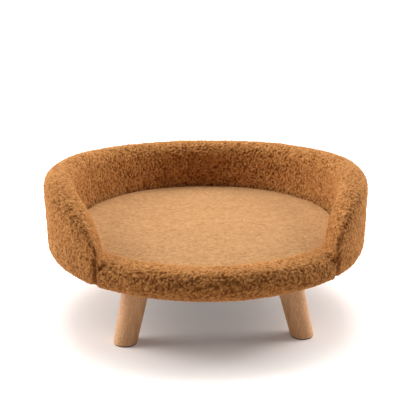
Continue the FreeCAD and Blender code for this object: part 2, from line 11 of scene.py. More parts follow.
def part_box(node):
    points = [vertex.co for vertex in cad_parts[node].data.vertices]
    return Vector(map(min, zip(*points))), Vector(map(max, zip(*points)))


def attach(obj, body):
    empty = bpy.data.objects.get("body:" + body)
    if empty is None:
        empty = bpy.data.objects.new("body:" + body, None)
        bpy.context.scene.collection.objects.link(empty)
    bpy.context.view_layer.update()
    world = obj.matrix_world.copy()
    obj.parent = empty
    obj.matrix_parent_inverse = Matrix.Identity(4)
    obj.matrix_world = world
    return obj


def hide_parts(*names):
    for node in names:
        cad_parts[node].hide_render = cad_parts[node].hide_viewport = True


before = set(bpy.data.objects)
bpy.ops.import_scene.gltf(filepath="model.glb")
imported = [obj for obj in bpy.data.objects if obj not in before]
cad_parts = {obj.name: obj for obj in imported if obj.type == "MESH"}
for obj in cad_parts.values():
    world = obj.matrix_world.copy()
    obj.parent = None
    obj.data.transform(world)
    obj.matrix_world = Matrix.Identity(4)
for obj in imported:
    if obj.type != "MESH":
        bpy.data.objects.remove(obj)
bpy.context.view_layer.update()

LOG = logging.getLogger("pet_bed")
FRAME_BODY = "frame"
CUSHION_BODY = "cushion"
CORNERS = ("front_left", "front_right", "back_right", "back_left")
Socket = bpy.types.NodeSocket
Tree = bpy.types.NodeTree
Node = bpy.types.Node
Material = bpy.types.Material
Piece = bpy.types.Object
Triple = tuple[float, float, float]
Colour = Triple
Span = tuple[float, float]

# Lengths are in metres throughout. The frame's are rounded to a micrometre.
DECIMALS = 6
TINY = 1e-9

# The attribute that takes a pile's height to its colour, painted shade low between the curls and
# painted highlight on their tops, and the height of an even pile.
PILE = "pile"
EVEN_PILE = 0.64
# The height at which the surface stays in place, and how fine the bulges under it are.
MEAN_PILE = 0.55
SWELL_SCALE = 14.0
# Where the lip's short pile gives way to the wall's long one, along Y and along Z.
WALL_Y: Span = (-0.13, -0.11)
WALL_Z: Span = (0.152, 0.160)
# The seams at the lip's two ends: half their width, how far their height is lowered, which
# darkens them as painted shade in the crease and sinks them a little, and where they run out.
SEAM_HALF = 0.005
SEAM_PAINTED_SHADE = -0.30
SEAM_OUT_Y: Span = (-0.15, -0.14)
SEAM_OUT_Z: Span = (0.143, 0.152)
# Where forward-facing faces at the front get painted shade: how far a face looks forward, and how
# far ahead it is.
SHADE_FACING: Span = (0.2, 0.8)
SHADE_AHEAD: Span = (0.02, 0.09)
# The pile rises over its first millimetres above the foot.
FOOT_EASE: Span = (0.0, 4.0)
MILLIMETRES = 1000.0
# Half the height between the two rows of zip teeth.
TOOTH_STAGGER = 0.0006

# The pile's colours, from painted shade between the curls through the fabric's own tone to
# painted highlight on their tops: the heights over which one gives way to the next.
MIDDLE_AT: Span = (0.15, 0.55)
TIP_AT: Span = (0.5, 0.9)
PATCH_SCALE = 34.0
RIPPLE_STRETCH: Triple = (120.0, 260.0, 260.0)
WOOD_RINGS = 38.0
WORN_AT: Span = (0.35, 0.7)

GEOMETRY = {"Geometry": "NodeSocketGeometry"}
# A finish group's outputs are named after the shader inputs that they feed.
PILE_OUTS = {"Base Color": "NodeSocketColor", "Normal": "NodeSocketVector"}
SURFACE_OUTS = {**PILE_OUTS, "Roughness": "NodeSocketFloat"}


@dataclass(frozen=True)
class Room:
    """The sizes that the soft parts take from the CAD."""

    ring_radius: float
    ring_low: float
    ring_top: float
    lip_top: float
    lip_half_width: float
    seat_radius: float
    seat_low: float
    seat_top: float
    tape_radius: float
    tape_low: float
    tape_high: float


class Stretch(Enum):
    """The two upholstered stretches of the ring."""

    BACK = "back"
    FRONT = "front"


class Graph:
    """A node tree that is filled one node at a time."""

    def __init__(self, tree: Tree) -> None:
        """Wrap a tree.

        Args:
            tree: The node tree to fill.
        """
        self.tree = tree

    def feed(self, socket: Socket, value: object) -> None:
        """Link or set one input.

        Args:
            socket: The input.
            value: Another node's output, or a plain value.
        """
        if isinstance(value, Socket):
            self.tree.links.new(value, socket)
        elif socket.type == "RGBA":
            socket.default_value = (*value, 1.0)
        else:
            socket.default_value = value

    def add(self, kind: str, inputs: dict | None = None, **settings: object) -> Node:
        """Add a node.

        Args:
            kind: Blender's name of the node type.
            inputs: Values or links by input name or number.
            settings: The node's own options.

        Returns:
            The new node.
        """
        node = self.tree.nodes.new(kind)
        for name, value in settings.items():
            setattr(node, name, value)
        self.feed_all(node, inputs or {})
        return node

    def feed_all(self, node: Node, inputs: dict) -> None:
        """Link or set several inputs of a node.

        Args:
            node: The node.
            inputs: Values or links by input name or number.
        """
        for key, value in inputs.items():
            self.feed(node.inputs[key], value)

    def maths(self, operation: str, *values: object, clamp: bool = False) -> Socket:
        """Add a number sum.

        Args:
            operation: The sum to do.
            values: Its operands.
            clamp: True to keep the result from 0 to 1.

        Returns:
            The result.
        """
        node = self.add("ShaderNodeMath", dict(enumerate(values)), operation=operation)
        node.use_clamp = clamp
        return node.outputs[0]

    def vectors(self, operation: str, first: object, second: object) -> Socket:
        """Add a vector sum.

        Args:
            operation: The sum to do.
            first: First operand.
            second: Second operand.

        Returns:
            The result.
        """
        node = self.add("ShaderNodeVectorMath", {0: first}, operation=operation)
        self.feed(node.inputs["Scale" if operation == "SCALE" else 1], second)
        return node.outputs[0]

    def noise(
        self, place: Socket, scale: object, detail: float, roughness: float = 0.5
    ) -> bpy.types.NodeOutputs:
        """Add a noise.

        Args:
            place: Where it is read.
            scale: How fine it is.
            detail: How many finer noises are added to it.
            roughness: How strong the finer ones are.

        Returns:
            The noise's outputs.
        """
        inputs = {"Vector": place, "Scale": scale, "Detail": detail, "Roughness": roughness}
        return self.add("ShaderNodeTexNoise", inputs).outputs

    def bump(self, height: object, strength: float, depth: object) -> Socket:
        """Turn a height into a fine normal.

        Args:
            height: The height.
            strength: How much of it shows.
            depth: How far down it goes.

        Returns:
            The normal.
        """
        inputs = {"Height": height, "Strength": strength, "Distance": depth}
        return self.add("ShaderNodeBump", inputs).outputs[0]

    def blend(self, factor: object, low: object, high: object) -> Socket:
        """Mix two colours.

        Args:
            factor: 0 for the first colour, 1 for the second.
            low: First colour.
            high: Second colour.

        Returns:
            The mixed colour.
        """
        node = self.add("ShaderNodeMix", data_type="RGBA")
        self.feed(node.inputs[0], factor)
        self.feed(node.inputs[6], low)
        self.feed(node.inputs[7], high)
        return node.outputs[2]

    def spread(self, value: object, low: float, high: float) -> Socket:
        """Stretch a range of a value to 0 to 1, smoothly.

        Args:
            value: The value.
            low: What becomes 0.
            high: What becomes 1.

        Returns:
            The stretched value.
        """
        inputs = {0: value, 1: low, 2: high, 3: 0.0, 4: 1.0}
        return self.add("ShaderNodeMapRange", inputs, interpolation_type="SMOOTHSTEP").outputs[0]


def measure() -> Room:
    """Read the sizes off the frame.

    Returns:
        The sizes.
    """
    wall_low, wall_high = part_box("back_cover")
    lip_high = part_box("front_cover")[1]
    seat_low, seat_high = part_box("cushion_cover")
    tape_low, tape_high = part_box("zip_tape")
    sizes = (
        wall_high[1], wall_low[2], wall_high[2], lip_high[2], lip_high[0],
        -seat_low[1], seat_low[2], seat_high[2], tape_high[1], tape_low[2], tape_high[2],
    )
    return Room(*(round(float(size), DECIMALS) for size in sizes))


def titled(values: object) -> dict[str, object]:
    """Name a dataclass's values as node groups name theirs: "seam_at" as "Seam At".

    Args:
        values: The dataclass.

    Returns:
        Its values by their new names.
    """
    return {
        item.name.replace("_", " ").title(): getattr(values, item.name) for item in fields(values)
    }


def smooth_step(share: np.ndarray | float) -> np.ndarray | float:
    """Ease a share from 0 to 1.

    Args:
        share: How far along the step, also below 0 and above 1.

    Returns:
        The eased share.
    """
    held = np.clip(share, 0.0, 1.0)
    return held * held * (3 - 2 * held)


def new_group(name: str, kind: str, ins: dict[str, str], outs: dict[str, str]) -> Graph:
    """Make a node group with named sockets.

    Args:
        name: The group's name.
        kind: "ShaderNodeTree" or "GeometryNodeTree".
        ins: Input names and their socket types.
        outs: Output names and their socket types.

    Returns:
        The empty group.
    """
    tree = bpy.data.node_groups.new(name, kind)
    for side, sockets in (("INPUT", ins), ("OUTPUT", outs)):
        for socket, form in sockets.items():
            tree.interface.new_socket(socket, in_out=side, socket_type=form)
    return Graph(tree)


def make_pile_shade() -> Tree:
    """Colour and fine normal of a pile: painted shade between the curls, painted highlight at the
    tips.

    Returns:
        The shader group.
    """
    ins = {
        "Deep": "NodeSocketColor",
        "Middle": "NodeSocketColor",
        "Tip": "NodeSocketColor",
        "Fibre Scale": "NodeSocketFloat",
        "Fibre Depth": "NodeSocketFloat",
        "Patch Amount": "NodeSocketFloat",
        "Ripple Amount": "NodeSocketFloat",
    }
    graph = new_group("pile_shade", "ShaderNodeTree", ins, PILE_OUTS)
    given = graph.add("NodeGroupInput").outputs
    place = graph.add("ShaderNodeTexCoord").outputs["Object"]
    pile = graph.add("ShaderNodeAttribute", attribute_name=PILE).outputs["Fac"]
    fibre = graph.noise(place, given["Fibre Scale"], 3.0, 0.65)["Fac"]
    patch = graph.noise(place, PATCH_SCALE, 2.0)["Fac"]
    lift = graph.maths("MULTIPLY", graph.maths("SUBTRACT", fibre, 0.5), 0.5)
    stain = graph.maths("SUBTRACT", patch, 0.5)
    stain = graph.maths("MULTIPLY", stain, given["Patch Amount"])
    drawn = graph.vectors("MULTIPLY", place, RIPPLE_STRETCH)
    ripple = graph.maths("SUBTRACT", graph.noise(drawn, 1.0, 1.0)["Fac"], 0.5)
    ripple = graph.maths("MULTIPLY", ripple, given["Ripple Amount"])
    height = graph.maths("ADD", graph.maths("ADD", pile, lift), stain)
    height = graph.maths("ADD", height, ripple)
    # Painted shade low between the curls, the fabric's own tone in the middle, painted highlight
    # on their tops.
    lower = graph.blend(graph.spread(height, *MIDDLE_AT), given["Deep"], given["Middle"])
    colour = graph.blend(graph.spread(height, *TIP_AT), lower, given["Tip"])
    normal = graph.bump(graph.maths("ADD", fibre, ripple), 1.0, given["Fibre Depth"])
    graph.add("NodeGroupOutput", {"Base Color": colour, "Normal": normal})
    return graph.tree


def make_wood_grain() -> Tree:
    """Colour, roughness and normal of a clear-finished wood, grain along Z.

    Returns:
        The shader group.
    """
    ins = {
        "Light": "NodeSocketColor",
        "Dark": "NodeSocketColor",
        "Stretch": "NodeSocketVector",
        "Contrast": "NodeSocketFloat",
    }
    graph = new_group("wood_grain", "ShaderNodeTree", ins, SURFACE_OUTS)
    given = graph.add("NodeGroupInput").outputs
    place = graph.add("ShaderNodeTexCoord").outputs["Object"]
    along = graph.vectors("MULTIPLY", place, given["Stretch"])
    broad = graph.noise(along, 1.0, 3.0)["Fac"]
    fine = graph.noise(along, 6.0, 4.0)["Fac"]
    rings = graph.maths("SINE", graph.maths("MULTIPLY", broad, WOOD_RINGS))
    rings = graph.maths("MULTIPLY_ADD", rings, 0.25, 0.5)
    mark = graph.maths("ADD", rings, graph.maths("SUBTRACT", fine, 0.5))
    mark = graph.maths("MULTIPLY", mark, given["Contrast"], clamp=True)
    colour = graph.blend(mark, given["Light"], given["Dark"])
    rough = graph.maths("MULTIPLY_ADD", fine, 0.2, 0.38)
    normal = graph.bump(fine, 0.35, 0.0004)
    graph.add("NodeGroupOutput", {"Base Color": colour, "Roughness": rough, "Normal": normal})
    return graph.tree


def make_speckle() -> Tree:
    """A small change of colour, roughness and height, for metal, felt and sheet.

    Returns:
        The shader group.
    """
    ins = {
        "Base": "NodeSocketColor",
        "Worn": "NodeSocketColor",
        "Scale": "NodeSocketFloat",
        "Roughness": "NodeSocketFloat",
        "Depth": "NodeSocketFloat",
    }
    graph = new_group("speckle", "ShaderNodeTree", ins, SURFACE_OUTS)
    given = graph.add("NodeGroupInput").outputs
    place = graph.add("ShaderNodeTexCoord").outputs["Object"]
    grain = graph.noise(place, given["Scale"], 3.0)["Fac"]
    colour = graph.blend(graph.spread(grain, *WORN_AT), given["Base"], given["Worn"])
    change = graph.maths("MULTIPLY_ADD", grain, 0.2, -0.1)
    rough = graph.maths("ADD", given["Roughness"], change, clamp=True)
    normal = graph.bump(grain, 0.6, given["Depth"])
    graph.add("NodeGroupOutput", {"Base Color": colour, "Roughness": rough, "Normal": normal})
    return graph.tree


def start_material(name: str) -> tuple[Material, Graph, Node]:
    """Make a new material.

    Args:
        name: The material's name.

    Returns:
        The material, its graph and its main shader.
    """
    material = bpy.data.materials.new(name + "_finish")
    material.use_nodes = True
    graph = Graph(material.node_tree)
    return material, graph, material.node_tree.nodes["Principled BSDF"]


@dataclass(frozen=True)
class Finish:
    """A material whose values feed a finish group."""

    name: str

    def surface(self) -> dict[str, object]:
        """Name the main shader's own values.

        Returns:
            The values by input name.
        """
        return {}

    def make(self, tree: Tree) -> Material:
        """Build the material.

        Args:
            tree: The finish group.

        Returns:
            The material.
        """
        material, graph, shader = start_material(self.name)
        group = graph.add("ShaderNodeGroup", node_tree=tree)
        values = titled(self)
        for socket in group.inputs:
            graph.feed(socket, values[socket.name])
        for output in group.outputs:
            graph.feed(shader.inputs[output.name], output)
        graph.feed_all(shader, self.surface())
        return material


@dataclass(frozen=True)
class PileFinish(Finish):
    """The look of a fabric with a pile."""

    # The first colour is painted shade between the curls, the second the fabric's own tone, the
    # third painted highlight on their tops.
    deep: Colour
    middle: Colour
    tip: Colour
    fibre_scale: float
    fibre_depth: float
    patch_amount: float
    ripple_amount: float
    sheen: float

    def surface(self) -> dict[str, object]:
        """Name the main shader's own values.

        Returns:
            The values by input name.
        """
        return {
            "Roughness": 0.95,
            "Specular IOR Level": 0.15,
            "Sheen Weight": self.sheen,
            "Sheen Roughness": 0.5,
            "Sheen Tint": self.tip,
        }


@dataclass(frozen=True)
class WoodFinish(Finish):
    """The look of one wood."""

    light: Colour
    dark: Colour
    stretch: Triple
    contrast: float


@dataclass(frozen=True)
class PlainFinish(Finish):
    """The look of a metal, felt, tape or sheet."""

    base: Colour
    worn: Colour
    scale: float
    roughness: float
    depth: float
    metallic: float = 0.0

    def surface(self) -> dict[str, object]:
        """Name the main shader's own values.

        Returns:
            The values by input name.
        """
        return {"Metallic": self.metallic}


# In both piles the first colour is painted shade between the curls and the third painted
# highlight on their tops.
CURLY = PileFinish(
    name="curly_pile",
    deep=(0.190, 0.058, 0.009),
    middle=(0.49, 0.205, 0.055),
    tip=(0.80, 0.440, 0.196),
    fibre_scale=900.0,
    fibre_depth=0.0010,
    patch_amount=0.12,
    ripple_amount=0.0,
    sheen=0.6,
)
PLUSH = PileFinish(
    name="short_plush",
    deep=(0.42, 0.215, 0.085),
    middle=(0.52, 0.280, 0.120),
    tip=(0.60, 0.345, 0.165),
    fibre_scale=620.0,
    fibre_depth=0.0010,
    patch_amount=0.10,
    ripple_amount=0.80,
    sheen=0.12,
)
BEECH = WoodFinish(
    name="beech",
    light=(0.78, 0.435, 0.205),
    dark=(0.46, 0.220, 0.088),
    stretch=(230.0, 230.0, 7.0),
    contrast=0.9,
)
PLYWOOD = WoodFinish(
    name="plywood",
    light=(0.60, 0.42, 0.24),
    dark=(0.40, 0.25, 0.125),
    stretch=(8.0, 60.0, 60.0),
    contrast=0.7,
)
PLAIN = (
    PlainFinish("steel", (0.55, 0.55, 0.56), (0.4, 0.4, 0.41), 260.0, 0.35, 0.0001, 1.0),
    PlainFinish("black_steel", (0.02, 0.02, 0.022), (0.04, 0.04, 0.042), 500.0, 0.45, 0.0001),
    PlainFinish("dust_sheet", (0.012, 0.012, 0.013), (0.03, 0.03, 0.031), 900.0, 0.85, 0.0003),
    PlainFinish("pad", (0.05, 0.03, 0.02), (0.09, 0.06, 0.04), 1200.0, 0.9, 0.0004),
    PlainFinish("tape", (0.30, 0.16, 0.07), (0.38, 0.21, 0.1), 1500.0, 0.85, 0.0002),
    PlainFinish("zip_metal", (0.50, 0.36, 0.17), (0.35, 0.24, 0.1), 700.0, 0.3, 0.0001, 1.0),
)


@dataclass(frozen=True)
class Pile:
    """The shape of a pile over a surface. Left alone, it is even and has no seam.

    Attributes:
        curl_size: Size of a curl.
        pile_height: How far the curls stand up.
        swell: How far the fabric under them bulges.
        flat_below: Height below which there is no pile.
        short_within: Radius within which the lip's pile is short.
        long_beyond: Radius from which it is long.
        seam_at: Distance of the seams from the middle, sideways.
        seam_depth: How far the seams are drawn in.
        front_nap: How far forward-facing faces at the front are darkened, as painted shade.
    """

    curl_size: float
    pile_height: float
    swell: float
    flat_below: float
    short_within: float = -1.0
    long_beyond: float = -0.5
    seam_at: float = 1.0
    seam_depth: float = 0.0
    front_nap: float = 0.0


def curl_height(graph: Graph, place: Socket, size: Socket) -> Socket:
    """Raise two sizes of curl, with slow clumps through them.

    Args:
        graph: The geometry graph.
        place: The place on the surface.
        size: Size of a curl.

    Returns:
        The height, from 0 to 1.
    """
    rate = graph.maths("DIVIDE", 1.0, size)
    warp = graph.noise(place, graph.maths("MULTIPLY", rate, 0.4), 2.0)["Color"]
    warp = graph.vectors("SUBTRACT", warp, (0.5, 0.5, 0.5))
    reach = graph.maths("MULTIPLY", size, 2.2)
    turned = graph.vectors("ADD", place, graph.vectors("SCALE", warp, reach))
    curls = []
    for share in (1.0, 1.9):
        cell = graph.add(
            "ShaderNodeTexVoronoi",
            {"Vector": turned, "Scale": graph.maths("MULTIPLY", rate, share)},
            feature="F1",
        ).outputs["Distance"]
        curls.append(graph.maths("SUBTRACT", 1.0, cell, clamp=True))
    clump = graph.noise(place, graph.maths("MULTIPLY", rate, 0.22), 1.0)["Fac"]
    height = graph.maths("MULTIPLY", curls[0], 0.75)
    height = graph.maths("MULTIPLY_ADD", curls[1], 0.35, height)
    height = graph.maths("MULTIPLY_ADD", graph.maths("SUBTRACT", clump, 0.5), 0.25, height)
    return graph.maths("SUBTRACT", height, 0.1, clamp=True)


def pile_length(graph: Graph, place: Socket, given: bpy.types.NodeOutputs) -> Socket:
    """Say where the pile is long: all over the wall, and on the lip's outer side.

    Args:
        graph: The geometry graph.
        place: The place on the surface.
        given: The group's inputs.

    Returns:
        0 where the pile is short, 1 where it is long.
    """
    apart = graph.add("ShaderNodeSeparateXYZ", {0: place}).outputs
    flat = graph.add("ShaderNodeCombineXYZ", {0: apart["X"], 1: apart["Y"]}).outputs[0]
    away = graph.add("ShaderNodeVectorMath", {0: flat}, operation="LENGTH").outputs["Value"]
    gone = graph.maths("SUBTRACT", away, given["Short Within"])
    width = graph.maths("SUBTRACT", given["Long Beyond"], given["Short Within"])
    longer = graph.maths("DIVIDE", gone, width, clamp=True)
    wall = graph.maths(
        "MAXIMUM", graph.spread(apart["Y"], *WALL_Y), graph.spread(apart["Z"], *WALL_Z)
    )
    return graph.maths("MAXIMUM", longer, wall)


def seam_mask(graph: Graph, place: Socket, seam_at: Socket) -> Socket:
    """Mark the seams at the lip's two ends.

    Args:
        graph: The geometry graph.
        place: The place on the surface.
        seam_at: Distance of the seams from the middle, sideways.

    Returns:
        1 along the seams, 0 away from them.
    """
    apart = graph.add("ShaderNodeSeparateXYZ", {0: place}).outputs
    aside = graph.maths("SUBTRACT", graph.maths("ABSOLUTE", apart["X"]), seam_at)
    beside = graph.spread(graph.maths("ABSOLUTE", aside), 0.0, SEAM_HALF)
    beyond = graph.maths(
        "MAXIMUM", graph.spread(apart["Y"], *SEAM_OUT_Y), graph.spread(apart["Z"], *SEAM_OUT_Z)
    )
    return graph.maths("SUBTRACT", 1.0, graph.maths("MAXIMUM", beside, beyond))


def forward_painted_shade(graph: Graph, place: Socket, normal: Socket) -> Socket:
    """Mark the faces at the front that look forward: there the pile gets painted shade.

    Args:
        graph: The geometry graph.
        place: The place on the surface.
        normal: The way that the surface faces.

    Returns:
        1 on those faces, 0 elsewhere.
    """
    marks = []
    for source, span in ((normal, SHADE_FACING), (place, SHADE_AHEAD)):
        side = graph.add("ShaderNodeSeparateXYZ", {0: source}).outputs["Y"]
        marks.append(graph.spread(graph.maths("MULTIPLY", side, -1.0), *span))
    return graph.maths("MULTIPLY", *marks)


def finish_geometry(graph: Graph, geometry: Socket, given: bpy.types.NodeOutputs) -> None:
    """Make copies real, put the material on and give the geometry out.

    Args:
        graph: The geometry graph.
        geometry: What was made.
        given: The group's inputs.
    """
    real = graph.add("GeometryNodeRealizeInstances", {0: geometry})
    dressed = graph.add(
        "GeometryNodeSetMaterial", {"Geometry": real.outputs[0], "Material": given["Material"]}
    )
    graph.add("NodeGroupOutput", {"Geometry": dressed.outputs[0]})


def make_pile_tree() -> Tree:
    """Raise curls over a surface and keep their height for the colour.

    Returns:
        The geometry group.
    """
    ins = {**GEOMETRY, "Material": "NodeSocketMaterial"}
    for item in fields(Pile):
        ins[item.name.replace("_", " ").title()] = "NodeSocketFloat"
    graph = new_group("pile_maker", "GeometryNodeTree", ins, GEOMETRY)
    given = graph.add("NodeGroupInput").outputs
    place = graph.add("GeometryNodeInputPosition").outputs[0]
    normal = graph.add("GeometryNodeInputNormal").outputs[0]
    height = curl_height(graph, place, given["Curl Size"])
    uneven = graph.maths("SUBTRACT", height, EVEN_PILE)
    uneven = graph.maths("MULTIPLY", uneven, pile_length(graph, place, given))
    height = graph.maths("ADD", uneven, EVEN_PILE)
    seam = seam_mask(graph, place, given["Seam At"])
    # Along the seams the pile is darkened as painted shade in the crease; the lower height also
    # sinks it a little.
    height = graph.maths("MULTIPLY_ADD", seam, SEAM_PAINTED_SHADE, height)
    # Forward-facing faces at the front are darkened as painted shade; their pile is also a little
    # shorter.
    front_shade = graph.maths("MULTIPLY", forward_painted_shade(graph, place, normal), given["Front Nap"])
    height = graph.maths("SUBTRACT", height, front_shade)
    keep = graph.add(
        "GeometryNodeStoreNamedAttribute",
        {"Geometry": given["Geometry"], "Name": PILE, "Value": height},
        data_type="FLOAT",
        domain="POINT",
    )
    swell = graph.maths("SUBTRACT", graph.noise(place, SWELL_SCALE, 1.0)["Fac"], 0.5)
    swell = graph.maths("MULTIPLY", swell, given["Swell"])
    rise = graph.maths("SUBTRACT", height, MEAN_PILE)
    rise = graph.maths("MULTIPLY", rise, given["Pile Height"])
    rise = graph.maths("ADD", rise, swell)
    rise = graph.maths("SUBTRACT", rise, graph.maths("MULTIPLY", seam, given["Seam Depth"]))
    level = graph.add("ShaderNodeSeparateXYZ", {0: place}).outputs["Z"]
    above = graph.maths("SUBTRACT", level, given["Flat Below"])
    grown = graph.spread(graph.maths("MULTIPLY", above, MILLIMETRES), *FOOT_EASE)
    rise = graph.maths("MULTIPLY", rise, grown)
    moved = graph.add(
        "GeometryNodeSetPosition",
        {"Geometry": keep.outputs[0], "Offset": graph.vectors("SCALE", normal, rise)},
    )
    smooth = graph.add("GeometryNodeSetShadeSmooth", {0: moved.outputs[0]})
    finish_geometry(graph, smooth.outputs[0], given)
    return graph.tree


def make_teeth_tree() -> Tree:
    """Set zip teeth in two staggered rows along an arc about the Z axis.

    Returns:
        The geometry group.
    """
    ins = {
        **GEOMETRY,
        "Count": "NodeSocketInt",
        "Tooth": "NodeSocketVector",
        "Material": "NodeSocketMaterial",
    }
    ins.update({name: "NodeSocketFloat" for name in ("Radius", "Level", "Start", "Step")})
    graph = new_group("zip_teeth_maker", "GeometryNodeTree", ins, GEOMETRY)
    given = graph.add("NodeGroupInput").outputs
    number = graph.add("GeometryNodeInputIndex").outputs[0]
    angle = graph.maths("MULTIPLY_ADD", number, given["Step"], given["Start"])
    side = graph.maths("MULTIPLY_ADD", graph.maths("MODULO", number, 2.0), 2.0, -1.0)
    across = graph.maths("MULTIPLY", graph.maths("COSINE", angle), given["Radius"])
    along = graph.maths("MULTIPLY", graph.maths("SINE", angle), given["Radius"])
    height = graph.maths("MULTIPLY_ADD", side, TOOTH_STAGGER, given["Level"])
    spot = graph.add("ShaderNodeCombineXYZ", {0: across, 1: along, 2: height}).outputs[0]
    points = graph.add("GeometryNodePoints", {"Count": given["Count"], "Position": spot})
    tooth = graph.add("GeometryNodeMeshCube", {"Size": given["Tooth"]})
    turn = graph.add("ShaderNodeCombineXYZ", {2: angle}).outputs[0]
    copies = graph.add(
        "GeometryNodeInstanceOnPoints",
        {"Points": points.outputs[0], "Instance": tooth.outputs[0], "Rotation": turn},
    )
    finish_geometry(graph, copies.outputs[0], given)
    return graph.tree


def new_object(name: str, points: np.ndarray, faces: list[tuple[int, ...]]) -> Piece:
    """Make a mesh object at the origin.

    Args:
        name: Its name.
        points: Corner places, in metres.
        faces: Corner numbers of each face.

    Returns:
        The linked object.
    """
    mesh = bpy.data.meshes.new(name)
    mesh.from_pydata([tuple(map(float, point)) for point in points], [], faces)
    mesh.validate()
    piece = bpy.data.objects.new(name, mesh)
    bpy.context.scene.collection.objects.link(piece)
    return piece


def settle(piece: Piece) -> None:
    """Turn an object's modifiers into its plain mesh.

    Args:
        piece: The object.
    """
    bpy.context.view_layer.update()
    graph = bpy.context.evaluated_depsgraph_get()
    mesh = bpy.data.meshes.new_from_object(piece.evaluated_get(graph), depsgraph=graph)
    old = piece.data
    piece.modifiers.clear()
    piece.data = mesh
    mesh.name = piece.name
    bpy.data.meshes.remove(old)


def remesh(piece: Piece, voxel: float, smoothing: int) -> None:
    """Give an object even, closed faces.

    Args:
        piece: The object.
        voxel: Edge length, in metres.
        smoothing: How many times the corners are eased.
    """
    grid = piece.modifiers.new("grid", "REMESH")
    grid.mode = "VOXEL"
    grid.voxel_size = voxel
    if smoothing:
        ease = piece.modifiers.new("ease", "SMOOTH")
        ease.iterations = smoothing
        ease.factor = 0.5
    settle(piece)


def run_tree(piece: Piece, tree: Tree, values: dict) -> None:
    """Run a geometry group on an object and keep the result.

    Args:
        piece: The object.
        tree: The geometry group.
        values: Its inputs by name.
    """
    modifier = piece.modifiers.new("maker", "NODES")
    modifier.node_group = tree
    for item in tree.interface.items_tree:
        if item.item_type == "SOCKET" and item.in_out == "INPUT" and item.name in values:
            modifier[item.identifier] = values[item.name]
    settle(piece)


def ring_faces(rows: int, width: int) -> list[tuple[int, ...]]:
    """Faces of closed rings joined in order, with a face over each end.

    Args:
        rows: How many rings.
        width: Corners in a ring.

    Returns:
        The faces.
    """
    faces = []
    for row in range(rows - 1):
        for column in range(width):
            after = (column + 1) % width
            low, high = row * width, (row + 1) * width
            faces.append((low + column, low + after, high + after, high + column))
    faces.append(tuple(reversed(range(width))))
    faces.append(tuple((rows - 1) * width + column for column in range(width)))
    return faces


def arc(
    centre: tuple[float, float], radius: float, start: float, stop: float, count: int
) -> list[tuple[float, float]]:
    """Place points along an arc of a section.

    Args:
        centre: Its centre, outwards and up.
        radius: Its radius.
        start: Its first angle, in degrees up from outwards.
        stop: Its last angle.
        count: How many points.

    Returns:
        The points.
    """
    turns = np.radians(np.linspace(start, stop, count))
    return [
        (centre[0] + radius * math.cos(turn), centre[1] + radius * math.sin(turn))
        for turn in turns
    ]


